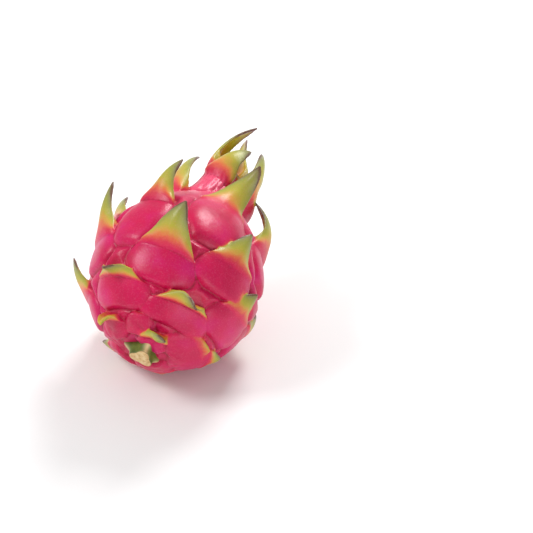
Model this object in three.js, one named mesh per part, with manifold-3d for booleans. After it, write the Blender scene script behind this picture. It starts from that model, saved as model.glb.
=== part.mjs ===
// A whole dragon fruit lying on its side, in millimetres, +Z up.
// The fruit's axis runs along +Y, from the cut stem to the crown, and climbs a little toward the crown.
// The origin is on the small flat spot that it rests on, under the widest part of the body.
import * as THREE from 'three';
import { LoftGeometry } from 'three/addons/geometries/LoftGeometry.js';
import { mergeVertices } from 'three/addons/utils/BufferGeometryUtils.js';
import Module from 'manifold-3d';

const wasm = await Module();
wasm.setup();

const DEG = Math.PI / 180;

// Driving dimensions, in millimetres and degrees.
const BODY_RADIUS = 45; // the skin's widest ring, without the scales
const AXIS_TILT = 15; // how far the crown end is raised
const AXIS_HEIGHT = 44.5; // from the resting surface to the middle of the widest ring
const NECK_RADIUS = 10.6; // the neck under the crown's leaves
const STRAIGHT_NECK = 85; // past this arc length a scale's seat runs straight on instead of into the cup
const AROUND = 36; // sides of the body

// The body's outline, as distance along the axis from the widest ring, and radius.
const OUTLINE = [
  [-44.5, 0],
  [-46.2, 7],
  [-45.5, 14],
  [-40.5, 24],
  [-30.5, 34.5],
  [-16, 42.3],
  [0, BODY_RADIUS],
  [14, 43.8],
  [27, 38.2],
  [37, 31.2],
  [45, 24.4],
  [52, 18.8],
  [60, 14.6],
  [68, 12],
  [75, NECK_RADIUS],
  [79, 9.6],
  [80, 7.6],
  [80, 4],
  [80, 0],
];
const OUTLINE_STEPS = 26;

// The scales stand on one spiral, numbered from the shoulder (0) down to the stem and up to the crown.
const FIRST_SCALE = -9;
const LAST_SCALE = 21;
const FIRST_ON_BODY = -4;
const SPIRAL_START = 33;
const SPIRAL_TURN = 137.5;
const PLATE_RISE = 2.4; // how far a scale's swollen foot stands out of the skin
const PLATE_SINK = 1; // its edge, under the skin
const WING_LIFT = 1.8; // the edge of its wings, over the skin
const ROOT_DEPTH = 3.2; // its inner face, under the skin
const TIP_HALF = 0.7; // half of the width left at a flag's tip
const FLAG_THICK = 3;
const FLOOR_CLEAR = 0.5; // flags pressed under the fruit stay this far off the surface

// The cut stem: a stub of the three-ribbed branch, set in a socket in the stem end.
const STEM = {
  radius: 6.2,
  ribs: 0.2,
  flare: 7,
  inside: -40,
  outside: -53,
  ribTurn: 28,
  bend: 1.6,
  sides: 18,
  stations: [1, 0.85, 0.65, 0.45, 0.25, 0],
};
// The dried flower base: a thin tube standing in the crown's cup.
const TUBE = { outer: 5.6, inner: 4.4, spread: 0.4, foot: 74.8, floor: 78, rim: 83.2, ragged: 1.3, aside: 2.2, sides: 24 };
const JOINT_GAP = 0.3;

// Scales whose place or bend differs from the rule, as seen on the fruit.
const SEEN = new Map([
  [-9, { azimuth: -165, half: 7, plate: 18, flag: 26, lean: 15, curl: 0 }],
  [-8, { azimuth: 95, half: 7, plate: 18, flag: 14, lean: 15, curl: 0 }],
  [-7, { azimuth: -82, seat: 89, half: 9, flag: 48, lean: 10, curl: -60, sweep: 24, turn: -3 }],
  [-6, { azimuth: 137, seat: 84, half: 8, flag: 56, lean: -6, curl: 18, sweep: 32 }],
  [-5, { azimuth: -13, seat: 79, half: 11, plate: 22, flag: 32, lean: 42, curl: -47, sweep: 2, turn: 28, horn: 0.85 }],
  [-3, { azimuth: 70, seat: 53, half: 12, plate: 22, flag: 62, lean: 55, curl: -3, sweep: 38, turn: -15 }],
  [-2, { azimuth: -55, seat: 50, half: 14, plate: 22, flag: 50, lean: 50, curl: 5, sweep: -38, turn: 6 }],
  [0, { azimuth: 34, seat: 33, half: 16.5, plate: 34, flag: 36, lean: 8, curl: 100, sweep: 44 }],
  [1, { azimuth: -78, seat: 19, half: 16, plate: 22, flag: 31, lean: 49, curl: 4, sweep: -22 }],
  [2, { azimuth: 93, seat: 29, half: 15, plate: 22, flag: 40, lean: 45, curl: -38, sweep: -30, turn: 0 }],
  [3, { azimuth: -19, seat: 19, half: 14, plate: 32, flag: 30, lean: 54, curl: 0, sweep: 26, turn: 9 }],
  [5, { azimuth: 55, seat: -3, half: 19, plate: 17, flag: 23, lean: 18, curl: -6, sweep: 14, turn: -11, horn: 0.34 }],
  [6, { azimuth: -56, seat: -3, half: 15, plate: 18, flag: 37, lean: 27, curl: -7, sweep: 13, turn: 3 }],
  [7, { azimuth: 127, seat: -8, half: 17, plate: 18, flag: 22, lean: 25, curl: -29 }],
  [8, { azimuth: 8, seat: -13, half: 18, plate: 19, flag: 29, lean: 62, curl: 0, sweep: 12, turn: 4 }],
  [10, { azimuth: 85, seat: -17, half: 18, plate: 18, flag: 17, lean: 12, curl: -10, sweep: 6, turn: -16 }],
  [11, { azimuth: -26, seat: -30, half: 18, plate: 17, flag: 11, lean: 68, curl: 88, sweep: -10, turn: 9, horn: 0.28 }],
  [13, { azimuth: 39, seat: -35, half: 19, plate: 14, flag: 15, lean: 78, curl: 70, sweep: 50, turn: -10, horn: 0.25 }],
  [14, { azimuth: -86, seat: -27, half: 11, plate: 17, flag: 32, lean: 23, curl: -10, sweep: -15, turn: 10 }],
  [15, { azimuth: 119, seat: -37, half: 13, plate: 16, flag: 10, lean: 27, curl: -27 }],
  [16, { azimuth: 0, seat: -50, half: 8, plate: 12, flag: 2, lean: 20, curl: 20 }],
  [17, { azimuth: -138, seat: -42, half: 13, plate: 13, flag: 19, lean: 14, curl: 0, sweep: 7, turn: 22 }],
  [18, { azimuth: 94, seat: -43, half: 15, plate: 17, flag: 6, lean: 30, curl: 11, sweep: 4, turn: -7 }],
  [19, { azimuth: -50, seat: -50, half: 9, plate: 12, flag: 7, lean: 65, curl: 130, sweep: -15, turn: 28 }],
  [20, { azimuth: 169, seat: -50, half: 12, plate: 12, flag: 8, lean: 24, curl: -40 }],
  [21, { azimuth: 37, seat: -59, half: 9, plate: 10, flag: 17, lean: 54, curl: 28, sweep: 48, turn: -16 }],
]);

const outlineCurve = new THREE.SplineCurve(OUTLINE.map(([along, radius]) => new THREE.Vector2(along, radius)));

// Turns the fruit's own frame (+Y the axis) into the part's.
const lie = new THREE.Matrix4()
  .makeTranslation(0, 0, AXIS_HEIGHT)
  .multiply(new THREE.Matrix4().makeRotationX(AXIS_TILT * DEG));

// The outline sampled finely, with its arc length from the widest ring.
const outlineTable = makeOutlineTable();

function makeOutlineTable() {
  const points = outlineCurve.getPoints(1200);
  let length = 0;
  const table = points.map((point, i) => {
    if (i > 0) length += point.distanceTo(points[i - 1]);
    return { length, along: point.x, radius: point.y };
  });
  const widest = table.reduce((best, row) => (Math.abs(row.along) < Math.abs(best.along) ? row : best));
  const start = widest.length;
  return table.map((row) => ({ ...row, length: row.length - start }));
}

// Along and radius at an arc length; the neck runs straight on past its end.
function outlineAt(length) {
  if (length > STRAIGHT_NECK) {
    const end = outlineAt(STRAIGHT_NECK);
    return { along: end.along + length - STRAIGHT_NECK, radius: end.radius };
  }
  let low = 0;
  let high = outlineTable.length - 1;
  while (high - low > 1) {
    const middle = (low + high) >> 1;
    if (outlineTable[middle].length < length) low = middle;
    else high = middle;
  }
  const a = outlineTable[low];
  const b = outlineTable[high];
  const share = THREE.MathUtils.clamp((length - a.length) / (b.length - a.length), 0, 1);
  return {
    along: THREE.MathUtils.lerp(a.along, b.along, share),
    radius: THREE.MathUtils.lerp(a.radius, b.radius, share),
  };
}

// The skin's point, its direction toward the crown, its outward normal and its sideways direction.
function skinAt(length, azimuth) {
  const here = outlineAt(length);
  const before = outlineAt(length - 1);
  const after = outlineAt(length + 1);
  const run = new THREE.Vector2(after.along - before.along, after.radius - before.radius).normalize();
  const s = Math.sin(azimuth);
  const c = Math.cos(azimuth);
  return {
    point: new THREE.Vector3(here.radius * s, here.along, here.radius * c),
    up: new THREE.Vector3(run.y * s, run.x, run.y * c),
    normal: new THREE.Vector3(run.x * s, -run.y, run.x * c),
    side: new THREE.Vector3(c, 0, -s),
  };
}

// A scale's values by the rule: a golden-angle spiral, larger toward the crown.
function scaleByRule(number) {
  const azimuth = SPIRAL_START - SPIRAL_TURN * number;
  if (number < FIRST_ON_BODY) {
    const inward = FIRST_ON_BODY - 1 - number;
    return { azimuth, seat: 79 + inward, half: 9, plate: 20, flag: 36, lean: 18, curl: -10, horn: 0.7 };
  }
  const share = (number - FIRST_ON_BODY) / (LAST_SCALE - FIRST_ON_BODY);
  const low = Math.max(0, (number - 6) / 15);
  return {
    azimuth,
    seat: 34 - 5.6 * number + 0.055 * number * number,
    half: 17.5 - 8.5 * low,
    plate: 24 - 11 * share,
    flag: 36 - 26 * share,
    lean: 34,
    curl: 0,
    horn: 0.42,
  };
}

function scaleValues(number) {
  return { sweep: 0, turn: 0, ...scaleByRule(number), ...SEEN.get(number) };
}

const smooth = (from, to, x) => THREE.MathUtils.smoothstep(x, from, to);

// Half of the plate's width, from its foot (0) to its seat (1): a rounded pentagon.
function plateHalf(share, half) {
  const flank = Math.sin((Math.min(share / 0.5, 1) * Math.PI) / 2) ** 0.9;
  const belly = 0.14 * Math.sin(Math.PI * THREE.MathUtils.clamp((share - 0.2) / 0.8, 0, 1));
  return half * (0.6 + 0.4 * flank + belly);
}

// Half of the flag's width, from its seat (0) to its tip (1): wide wings that draw in to a horn.
function flagHalf(share, half, horn) {
  const wings = (1 - horn) * (1 - share) ** 3;
  const blade = horn * (1 - share ** 2.6) ** 0.7;
  return Math.max(half * (wings + blade), TIP_HALF);
}

// Places across a section, from -1 to 1, closer together at the edges.
function across(count) {
  return Array.from({ length: count }, (_, i) => Math.sin((-1 + (2 * i) / (count - 1)) * (Math.PI / 2)));
}

const OUTER = across(6);
const INNER = across(3)
  .map((u) => u * 0.985)
  .reverse();

// The swollen profile across a plate.
const pillow = (u) => Math.max(0, 1 - Math.abs(u) ** 4) ** 0.6;

// One scale as a closed loft: the plate on the skin, then the free flag.
function scaleSections(values, plateSteps, flagSteps) {
  const azimuth = values.azimuth * DEG;
  const turn = values.turn * DEG;
  const seatRadius = Math.max(outlineAt(values.seat).radius, 6);

  // The skin at x across and y along from the seat, in the scale's own turned axes.
  function place(x, y) {
    const sideways = x * Math.cos(turn) + y * Math.sin(turn);
    const length = values.seat - x * Math.sin(turn) + y * Math.cos(turn);
    const radius = Math.max(outlineAt(length).radius, 0.6 * seatRadius);
    const spot = skinAt(length, azimuth + sideways / radius);
    const up = spot.up.clone().multiplyScalar(Math.cos(turn)).addScaledVector(spot.side, Math.sin(turn));
    const side = spot.side.clone().multiplyScalar(Math.cos(turn)).addScaledVector(spot.up, -Math.sin(turn));
    return { ...spot, up, side };
  }

  const sections = [];
  for (let i = 0; i < plateSteps; i += 1) {
    sections.push(plateSection(values, place, i / plateSteps));
  }
  const spine = flagSpine(values, place(0, 0), flagSteps);
  for (let i = 0; i <= flagSteps; i += 1) {
    sections.push(flagSection(values, place, spine, i / flagSteps, i));
  }
  return sections;
}

function plateSection(values, place, share) {
  const half = plateHalf(share, values.half);
  const y = -values.plate * (1 - share);
  const swell = 1 - (1 - Math.min(share / 0.22, 1)) ** 2.4;
  const outer = OUTER.map((u) => {
    const spot = place(u * half, y);
    const height = (PLATE_RISE + PLATE_SINK) * swell * pillow(u) - PLATE_SINK;
    return spot.point.addScaledVector(spot.normal, height).applyMatrix4(lie);
  });
  const inner = INNER.map((u) => {
    const spot = place(u * half, y);
    return spot.point.addScaledVector(spot.normal, -ROOT_DEPTH).applyMatrix4(lie);
  });
  return [...outer, ...inner];
}

// The flag's middle line: it leans out at the seat and curls on the way to the tip.
function flagSpine(values, seat, flagSteps) {
  const fine = 8;
  const total = flagSteps * fine;
  const lean = values.lean * DEG;
  const curl = values.curl * DEG;
  const sweep = values.sweep * DEG;
  const position = seat.point.clone().addScaledVector(seat.normal, PLATE_RISE);
  const spine = [];
  for (let i = 0; i <= total; i += 1) {
    const share = i / total;
    const bend = lean + (curl - lean) * share ** 1.1;
    const along = seat.up
      .clone()
      .multiplyScalar(Math.cos(sweep * share))
      .addScaledVector(seat.side, Math.sin(sweep * share));
    const forward = along.clone().multiplyScalar(Math.cos(bend)).addScaledVector(seat.normal, Math.sin(bend));
    if (i % fine === 0) {
      const lifted = seat.normal.clone().multiplyScalar(Math.cos(bend)).addScaledVector(along, -Math.sin(bend));
      const side = forward.clone().cross(lifted).normalize();
      const normal = side.clone().cross(forward).normalize();
      spine.push({ point: position.clone(), side, normal });
    }
    position.addScaledVector(forward, values.flag / total);
  }
  return { seat, rows: spine };
}

function flagSection(values, place, spine, share, row) {
  const half = flagHalf(share, values.half, values.horn);
  const { point, side, normal } = spine.rows[row];
  const { seat } = spine;
  const y = Math.min(point.clone().sub(seat.point).dot(seat.up), values.flag * 0.5);
  const under = place(0, y);
  const lift = point.clone().sub(under.point).dot(under.normal);
  const root = (ROOT_DEPTH + PLATE_RISE) * (1 - smooth(0.1, 0.35, share));
  const thick = FLAG_THICK * (1 - 0.45 * share) * Math.min(1, half / 2.5 + 0.25);
  const free = smooth(0.05, 0.5, share);
  const edge = THREE.MathUtils.lerp(-PLATE_SINK, WING_LIFT, smooth(0, 0.15, share));

  function spot(u, inward) {
    const skin = place(u * half, y);
    const profile = pillow(u) * (1 - free) + (1 - u * u) * free;
    const hugging = skin.point.clone().addScaledVector(skin.normal, edge + (lift - edge) * profile);
    const flying = point
      .clone()
      .addScaledVector(side, u * half)
      .addScaledVector(normal, -0.5 * half * Math.abs(u) ** 1.7);
    const out = skin.normal.clone().lerp(normal, free).normalize();
    const place3d = hugging.lerp(flying, free).addScaledVector(out, -inward);
    place3d.applyMatrix4(lie);
    place3d.z = Math.max(place3d.z, FLOOR_CLEAR + Math.min(inward, FLAG_THICK));
    return place3d;
  }

  return [...OUTER.map((u) => spot(u, 0)), ...INNER.map((u) => spot(u, thick * (1 - 0.45 * u * u) + root))];
}

// A closed geometry as a solid that can be joined and cut.
function toSolid(geometry) {
  const bare = new THREE.BufferGeometry();
  bare.setAttribute('position', geometry.getAttribute('position'));
  bare.setIndex(geometry.index);
  const merged = mergeVertices(bare, 1e-4);
  return new wasm.Manifold(
    new wasm.Mesh({
      numProp: 3,
      vertProperties: Float32Array.from(merged.getAttribute('position').array),
      triVerts: Uint32Array.from(merged.index.array),
    }),
  );
}

function toGeometry(solid) {
  const mesh = solid.getMesh();
  const geometry = new THREE.BufferGeometry();
  geometry.setAttribute('position', new THREE.BufferAttribute(Float32Array.from(mesh.vertProperties), 3));
  geometry.setIndex(new THREE.BufferAttribute(Uint32Array.from(mesh.triVerts), 1));
  geometry.computeVertexNormals();
  return geometry;
}

function bodySolid() {
  const profile = outlineCurve.getSpacedPoints(OUTLINE_STEPS).map((point) => new THREE.Vector2(point.y, point.x));
  profile[0].x = 0;
  profile[OUTLINE_STEPS].x = 0;
  return toSolid(new THREE.LatheGeometry(profile, AROUND).applyMatrix4(lie));
}

function scaleSolid(number) {
  const values = scaleValues(number);
  const plateSteps = number < FIRST_ON_BODY ? 3 : 4;
  const flagSteps = values.flag > 15 ? 6 : 4;
  const sections = scaleSections(values, plateSteps, flagSteps);
  return toSolid(new LoftGeometry(sections, { closed: true, capStart: true, capEnd: true }));
}

// The stub's three-ribbed section, grown by a margin for its socket.
function stemSection(out, margin) {
  const points = [];
  const along = THREE.MathUtils.lerp(STEM.inside + margin, STEM.outside, out);
  for (let i = 0; i < STEM.sides; i += 1) {
    const angle = (i / STEM.sides) * 2 * Math.PI;
    const rib = Math.cos(3 * (angle - STEM.ribTurn * DEG));
    const wing = STEM.flare * (1 - smooth(0.4, 0.85, out)) * Math.max(0, rib) ** 1.5;
    const radius = STEM.radius * (1 + STEM.ribs * rib) + wing + margin;
    points.push(new THREE.Vector3(radius * Math.sin(angle) + STEM.bend * out, along, radius * Math.cos(angle)));
  }
  return points.map((point) => point.applyMatrix4(lie));
}

function stemSolid(margin) {
  const sections = STEM.stations.map((out) => stemSection(out, margin));
  return toSolid(new LoftGeometry(sections, { closed: true, capStart: true, capEnd: true }));
}

// The flower's dried base, its rim torn unevenly.
function tubeSolid() {
  const profile = [
    [0, TUBE.foot],
    [TUBE.outer - TUBE.spread, TUBE.foot],
    [TUBE.outer, TUBE.foot + 3],
    [TUBE.outer, TUBE.rim - 2],
    [TUBE.outer + TUBE.spread, TUBE.rim],
    [TUBE.inner + TUBE.spread, TUBE.rim],
    [TUBE.inner, TUBE.rim - 2],
    [TUBE.inner - TUBE.spread, TUBE.floor],
    [0, TUBE.floor],
  ].map(([radius, along]) => new THREE.Vector2(radius, along));
  const geometry = new THREE.LatheGeometry(profile, TUBE.sides);
  const position = geometry.getAttribute('position');
  for (let i = 0; i < position.count; i += 1) {
    const share = smooth(TUBE.floor, TUBE.rim, position.getY(i));
    const angle = Math.atan2(position.getX(i), position.getZ(i));
    const tear = TUBE.ragged * (0.6 * Math.sin(2 * angle + 1) + 0.4 * Math.sin(5 * angle));
    position.setY(i, position.getY(i) + tear * share);
  }
  return toSolid(geometry.translate(TUBE.aside, 0, 0).applyMatrix4(lie));
}

// The cup in the crown that the tube stands in, open above the tube's rim.
function cupSolid() {
  const profile = [
    [0, TUBE.foot - JOINT_GAP],
    [TUBE.outer + JOINT_GAP, TUBE.foot - JOINT_GAP],
    [TUBE.outer + TUBE.spread + JOINT_GAP, TUBE.rim - 2],
    [TUBE.outer + 2 * TUBE.spread + JOINT_GAP, TUBE.rim + TUBE.ragged],
    [0, TUBE.rim + TUBE.ragged],
  ].map(([radius, along]) => new THREE.Vector2(radius, along));
  return toSolid(new THREE.LatheGeometry(profile, TUBE.sides).translate(TUBE.aside, 0, 0).applyMatrix4(lie));
}

// Everything below the resting surface, taken off to leave the flat spot.
function belowSurface() {
  return toSolid(new THREE.BoxGeometry(400, 400, 100).translate(0, 0, -50));
}

// The one closed body of a solid, without scraps or sealed hollows.
function largestBody(solid) {
  return solid.decompose().reduce((best, piece) => (piece.volume() > best.volume() ? piece : best));
}

function fruitSolid() {
  let fruit = bodySolid();
  for (let number = FIRST_SCALE; number <= LAST_SCALE; number += 1) {
    fruit = fruit.add(scaleSolid(number));
  }
  const open = fruit.subtract(belowSurface()).subtract(stemSolid(JOINT_GAP)).subtract(cupSolid());
  return largestBody(open);
}

function named(name, solid, color, roughness) {
  const mesh = new THREE.Mesh(
    toGeometry(solid),
    new THREE.MeshStandardMaterial({ color, roughness, metalness: 0 }),
  );
  mesh.name = name;
  return mesh;
}

const dragonFruit = new THREE.Group();
dragonFruit.add(named('fruit', fruitSolid(), 0xd81b60, 0.45));
dragonFruit.add(named('stem_stub', stemSolid(0), 0x4f7a2a, 0.6));
dragonFruit.add(named('flower_remnant', tubeSolid(), 0x6b2f2a, 0.85));

export default dragonFruit;
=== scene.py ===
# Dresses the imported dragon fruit: a fine skin with its scales, the cut stem and the dried flower base,
# with procedural materials, a pale floor, soft light and the photograph's camera.
import math
import bpy
import numpy as np
from mathutils import Vector, Matrix
from mathutils.kdtree import KDTree


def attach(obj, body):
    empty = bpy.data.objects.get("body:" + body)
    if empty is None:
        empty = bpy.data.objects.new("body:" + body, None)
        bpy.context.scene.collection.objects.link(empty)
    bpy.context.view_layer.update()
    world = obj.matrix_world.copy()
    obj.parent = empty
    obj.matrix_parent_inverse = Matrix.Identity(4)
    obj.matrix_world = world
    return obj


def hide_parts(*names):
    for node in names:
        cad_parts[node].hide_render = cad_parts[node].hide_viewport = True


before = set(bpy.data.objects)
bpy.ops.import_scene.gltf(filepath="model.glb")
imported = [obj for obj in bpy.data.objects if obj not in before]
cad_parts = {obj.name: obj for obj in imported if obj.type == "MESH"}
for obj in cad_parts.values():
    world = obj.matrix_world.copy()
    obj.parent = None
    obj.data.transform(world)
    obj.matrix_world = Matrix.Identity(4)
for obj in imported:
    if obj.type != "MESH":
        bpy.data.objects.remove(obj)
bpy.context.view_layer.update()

DEG = math.pi / 180
MM = 0.001
TINY = 1e-12

# The fruit's sizes in millimetres and degrees, as the solids have them.
BODY_RADIUS = 45.0
AXIS_TILT = 15.0
AXIS_HEIGHT = 44.5
STRAIGHT_NECK = 85.0
OUTLINE = [
    (-44.5, 0), (-46.2, 7), (-45.5, 14), (-40.5, 24), (-30.5, 34.5), (-16, 42.3), (0, BODY_RADIUS),
    (14, 43.8), (27, 38.2), (37, 31.2), (45, 24.4), (52, 18.8), (60, 14.6), (68, 12), (75, 10.6),
    (79, 9.6), (80, 7.6), (80, 4), (80, 0),
]
PLATE_RISE = 2.4
PLATE_SINK = 1.0
ROOT_DEPTH = 3.2
TIP_HALF = 0.7
FLAG_THICK = 3.0
FLOOR_CLEAR = 0.5

# A scale's outline, as shares of its half width: a plate's foot, flanks and belly, a flag's wings and blade.
PLATE_FOOT, FLANK_REACH, FLANK_CURVE = 0.6, 0.5, 0.9
BELLY, BELLY_START = 0.14, 0.2
WING_TAPER, BLADE_FULLNESS, BLADE_CURVE = 3, 2.6, 0.7

# A scale's section: its flat middle and round edges, its foot's rise, and how a flag's margins bend in.
PILLOW_FLATNESS, PILLOW_EDGE = 4, 0.6
FOOT_LENGTH, FOOT_CURVE = 0.22, 2.4
CUP_DEPTH, CUP_CURVE = 0.5, 1.7

# Along a flag, as shares of its length: its root ends, it comes free, its wings rise, and it stops hugging.
ROOT_ENDS, COMES_FREE, WINGS_RISE, HUG_REACH = (0.1, 0.35), (0.05, 0.5), (0, 0.15), 0.5

# How evenly a flag's lean at the seat turns into its curl at the tip: 1 is even, more is later.
CURL_EASE = 1.1

# A flag is thinner toward its tip and its margins, and where it is narrow.
TIP_THINNING, MARGIN_THINNING = 0.45, 0.45
NARROW_HALF, NARROW_THICK = 2.5, 0.25

# The spiral's rule, from the crown to the stem end: where the scales sit, and how fast each size falls.
FIRST_SCALE, LAST_SCALE, FIRST_ON_BODY = -9, 21, -4
SPIRAL_START, SPIRAL_TURN = 33.0, 137.5
FIRST_SEAT, SEAT_STEP, SEAT_CROWDING = 34, 5.6, 0.055
WIDEST_HALF, HALF_FALL, FALL_START, FALL_COUNT = 17.5, 8.5, 6, 15
LONGEST_PLATE, PLATE_FALL = 24, 11
LONGEST_FLAG, FLAG_FALL = 36, 26
FLAG_LEAN, FLAG_HORN = 34, 0.42
CROWN_SEAT = 79
CROWN_SCALE = dict(half=9, plate=20, flag=36, lean=18, curl=-10, horn=0.7)

# Where the skin is much narrower than at a scale's seat, the scale no longer narrows with it.
LEAST_SEAT_RADIUS, LEAST_ROUND = 6, 0.6

# Scales whose place or bend differs from the rule, as seen on the fruit.
SEEN = {
    -9: dict(azimuth=-165, half=7, plate=18, flag=26, lean=15, curl=0),
    -8: dict(azimuth=95, half=7, plate=18, flag=14, lean=15, curl=0),
    -7: dict(azimuth=-82, seat=89, half=9, flag=48, lean=10, curl=-60, sweep=24, turn=-3),
    -6: dict(azimuth=137, seat=84, half=8, flag=56, lean=-6, curl=18, sweep=32),
    -5: dict(azimuth=-13, seat=79, half=11, plate=22, flag=32, lean=42, curl=-47, sweep=2, turn=28,
             horn=0.85),
    -3: dict(azimuth=70, seat=53, half=12, plate=22, flag=62, lean=55, curl=-3, sweep=38, turn=-15),
    -2: dict(azimuth=-55, seat=50, half=14, plate=22, flag=50, lean=50, curl=5, sweep=-38, turn=6),
    0: dict(azimuth=34, seat=33, half=16.5, plate=34, flag=36, lean=8, curl=100, sweep=44),
    1: dict(azimuth=-78, seat=19, half=16, plate=22, flag=31, lean=49, curl=4, sweep=-22),
    2: dict(azimuth=93, seat=29, half=15, plate=22, flag=40, lean=45, curl=-38, sweep=-30, turn=0),
    3: dict(azimuth=-19, seat=19, half=14, plate=32, flag=30, lean=54, curl=0, sweep=26, turn=9),
    5: dict(azimuth=55, seat=-3, half=19, plate=17, flag=23, lean=18, curl=-6, sweep=14, turn=-11,
            horn=0.34),
    6: dict(azimuth=-56, seat=-3, half=15, plate=18, flag=37, lean=27, curl=-7, sweep=13, turn=3),
    7: dict(azimuth=127, seat=-8, half=17, plate=18, flag=22, lean=25, curl=-29),
    8: dict(azimuth=8, seat=-13, half=18, plate=19, flag=29, lean=62, curl=0, sweep=12, turn=4),
    10: dict(azimuth=85, seat=-17, half=18, plate=18, flag=17, lean=12, curl=-10, sweep=6, turn=-16),
    11: dict(azimuth=-26, seat=-30, half=18, plate=17, flag=11, lean=68, curl=88, sweep=-10, turn=9,
             horn=0.28),
    13: dict(azimuth=39, seat=-35, half=19, plate=14, flag=15, lean=78, curl=70, sweep=50, turn=-10,
             horn=0.25),
    14: dict(azimuth=-86, seat=-27, half=11, plate=17, flag=32, lean=23, curl=-10, sweep=-15, turn=10),
    15: dict(azimuth=119, seat=-37, half=13, plate=16, flag=10, lean=27, curl=-27),
    16: dict(azimuth=0, seat=-50, half=8, plate=12, flag=2, lean=20, curl=20),
    17: dict(azimuth=-138, seat=-42, half=13, plate=13, flag=19, lean=14, curl=0, sweep=7, turn=22),
    18: dict(azimuth=94, seat=-43, half=15, plate=17, flag=6, lean=30, curl=11, sweep=4, turn=-7),
    19: dict(azimuth=-50, seat=-50, half=9, plate=12, flag=7, lean=65, curl=130, sweep=-15, turn=28),
    20: dict(azimuth=169, seat=-50, half=12, plate=12, flag=8, lean=24, curl=-40),
    21: dict(azimuth=37, seat=-59, half=9, plate=10, flag=17, lean=54, curl=28, sweep=48, turn=-16),
}

# The cut stem and the dried flower base, as the solids have them.
STEM_RADIUS, STEM_RIB_COUNT, STEM_RIBS, STEM_RIB_TURN, STEM_RIB_CURVE = 6.2, 3, 0.2, 28.0, 1.5
STEM_INSIDE, STEM_OUTSIDE, STEM_BEND = -40.0, -53.0, 1.6
STEM_FLARE, FLARE_ENDS = 7.0, (0.4, 0.85)
TUBE_OUTER, TUBE_INNER, TUBE_FOOT, TUBE_FLOOR, TUBE_RIM, TUBE_RAGGED = 5.6, 4.4, 74.8, 78.0, 83.2, 1.3
TUBE_ASIDE = 2.2

# The waves of the tube's torn rim: the share, count around and start of each.
TEARS = [(0.6, 2, 1), (0.4, 5, 0)]

# How the stub is drawn out: its sides and steps, the cut face's rim, its hollow and the share that it takes.
STEM_SIDES, STEM_STEPS, STEM_RIM, STEM_SINK, STEM_HOLLOW = 18, 8, 0.5, 0.5, 0.3
STEM_LEVELS = 3

# Where the cut face's colour lies: within its margin, as a share of the radius, and near the end of the stub.
CUT_MARGIN, CUT_START = (0.86, 0.95), (0.85, 0.93)

# How the tube is drawn out: its sides, the steps at its ends, its flare, its ribs and the reach of its tears.
TUBE_SIDES, TUBE_STEP, TUBE_SPREAD, TUBE_RIB, TEAR_REACH = 44, 2.0, 0.4, 0.97, 0.1
TUBE_LEVELS = 2

# Corners nearer the axis than this stand on no column.
AXIS_REACH = 0.3

# Only this script has what follows, down to the colours, because it is the soft relief of a skin.
# The edge of a flag's wings lies on the plates beside it, so it stands higher off the skin than the solid's.
WING_LIFT = 2.7

# The skin between the plates swells like a plate of its own, and a fine groove runs around each plate.
# Beyond a scale's seat both die away, over the lengths given last.
SKIN_FILL, SWELL_WIDTH, VALLEY_ENDS = 2.1, 3.2, (6, 12)
GROOVE_DEPTH, GROOVE_WIDTH, GROOVE_ENDS = 0.7, 0.9, (-1, 2)
PROFILE_SAMPLES = 33

# Where, along the axis, the body turns into the neck, and where the swelling starts at the stem end.
NECK_BEGINS, FILL_BEGINS = (46, 62), (-46, -42)

# Slow waves over the body: their depth, count around, slant and length along.
WAVE_DEPTH, WAVE_COUNT, WAVE_SLANT, WAVE_LENGTH = 0.3, 3, 9, 7

# Folds on the neck: how many, how far and how often they sway, and the length over which they slant.
NECK_FOLDS = dict(count=11, sway=1.5, sways=3, slant=15)
WRINKLES = dict(count=9, sway=2.6, sways=2, start=0.7, slant=7)
FINE_WRINKLES = dict(count=26, sway=3, sways=3, slant=-5)
NECK_FOLD_DEPTH, WRINKLE_DEPTH, FINE_WRINKLE_DEPTH = 0.7, 0.6, 0.3

# The wrinkles come in patches, start and end along the axis, and die away off the bare skin.
PATCH_COUNT, PATCH_SLANT = 3, 6
WRINKLES_BEGIN, WRINKLES_END, OFF_SKIN = (40, 56), (70, 80), (3, 6)

# Crumpled skin around the stem: its lumps both ways, where it ends along the axis, and its ring around it.
LUMP_DEPTH = 0.4
LUMPS_SIDEWAYS = dict(length=2.1, sway=2, sway_length=3.3)
LUMPS_ACROSS = dict(length=1.9, sway=1.5, sway_length=2.7)
LUMPS_END, LUMPS_INSIDE, LUMPS_OUTSIDE = (-44, -37), (8, 11), (18, 26)

# How the ripening of a flag runs out along its margins, and the flag's length below which it stays pink.
MARGIN_RIPE, MARGIN_CURVE, MARGIN_BEGINS = 0.34, 4, (-0.02, 0.22)
SHORT_FLAG = 9

# Where the neck's colour comes in, measured along the axis from the resting spot.
NECK_COLOUR = (34, 54)

# Marks on the skin: the sides of a scale, and on bare skin its blade, margin, side and growth,
# points of bare skin along, around and above, rounds of evening out, and a crease's depth.
OUTER_SIDE, INNER_SIDE, BARE_SIDE = 0.0, 1.0, 2.0
BARE_MARKS = (-1.0, 1.0, BARE_SIDE, 1.0)
BARE_LENGTHS, BARE_ROWS, BARE_COLUMNS = (-60, 85), 220, 200
BARE_HEIGHTS = (0, 0.5 * SKIN_FILL, SKIN_FILL)
# The crease depth sets where the painted shade that darkens the creases is full.
MARK_ROUNDS, CREASE_ROUNDS, CREASE_DEPTH = 5, 10, 0.25
SPREAD_SHARE = 0.6

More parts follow.
